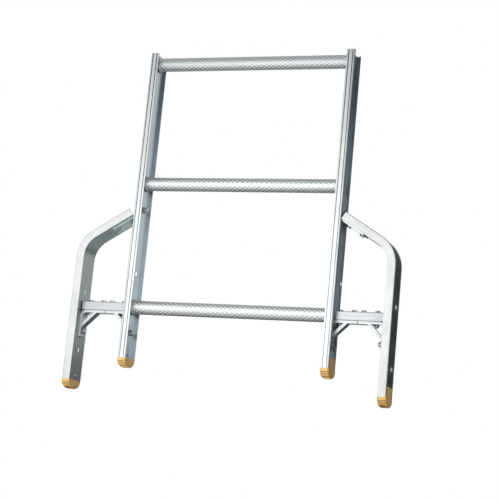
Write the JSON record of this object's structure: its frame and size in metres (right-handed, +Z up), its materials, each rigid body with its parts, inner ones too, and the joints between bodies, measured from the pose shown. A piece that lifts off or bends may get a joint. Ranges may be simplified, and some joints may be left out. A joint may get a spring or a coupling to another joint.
{
  "type": "ladder foot with outrigger legs",
  "caption": "Lower end of an aluminium rung ladder with a bent outrigger leg bolted to each stile by a strut, knee brackets and a top bracket, on ribbed feet.",
  "frame": {"origin": "on the ground, midway between the two outrigger feet", "axes": "+X along the rungs to the climber's right, +Y from the climbed side to the back, +Z up the stiles"},
  "size_m": [0.7292, 0.0592, 0.7665],
  "materials": {
    "extruded_aluminium": "mill-finish extrusion, fine lines along its length",
    "bent_aluminium": "mill-finish bent channel",
    "strut_aluminium": "mill-finish square tube",
    "bracket_aluminium": "sawn and tumbled extrusion",
    "knurled_aluminium": "diamond-knurled tube with plain ends",
    "zinc_steel": "zinc-plated",
    "rivet_aluminium": "plain rivet",
    "foot_rubber": "moulded, yellow, matt"
  },
  "bodies": {
    "root": {"bottom_rung": "knurled_aluminium", "middle_rung": "knurled_aluminium", "top_rung": "knurled_aluminium", "left_stile": "extruded_aluminium", "left_leg": "bent_aluminium", "left_strut": "strut_aluminium", "left_stile_knee_bracket": "bracket_aluminium", "left_leg_knee_bracket": "bracket_aluminium", "left_top_bracket": "bracket_aluminium", "left_stile_foot": "foot_rubber", "left_leg_foot": "foot_rubber", "left_strut_bolts": "zinc_steel", "left_strut_nuts": "zinc_steel", "left_strut_screws": "zinc_steel", "left_knee_bolts": "zinc_steel", "left_knee_nuts": "zinc_steel", "left_top_bracket_bolts": "zinc_steel", "left_top_bracket_nuts": "zinc_steel", "left_arm_bolts": "zinc_steel", "left_arm_nuts": "zinc_steel", "left_foot_rivets": "rivet_aluminium", "right_stile": "extruded_aluminium", "right_leg": "bent_aluminium", "right_strut": "strut_aluminium", "right_stile_knee_bracket": "bracket_aluminium", "right_leg_knee_bracket": "bracket_aluminium", "right_top_bracket": "bracket_aluminium", "right_stile_foot": "foot_rubber", "right_leg_foot": "foot_rubber", "right_strut_bolts": "zinc_steel", "right_strut_nuts": "zinc_steel", "right_strut_screws": "zinc_steel", "right_knee_bolts": "zinc_steel", "right_knee_nuts": "zinc_steel", "right_top_bracket_bolts": "zinc_steel", "right_top_bracket_nuts": "zinc_steel", "right_arm_bolts": "zinc_steel", "right_arm_nuts": "zinc_steel", "right_foot_rivets": "rivet_aluminium"}
  },
  "joints": []
}
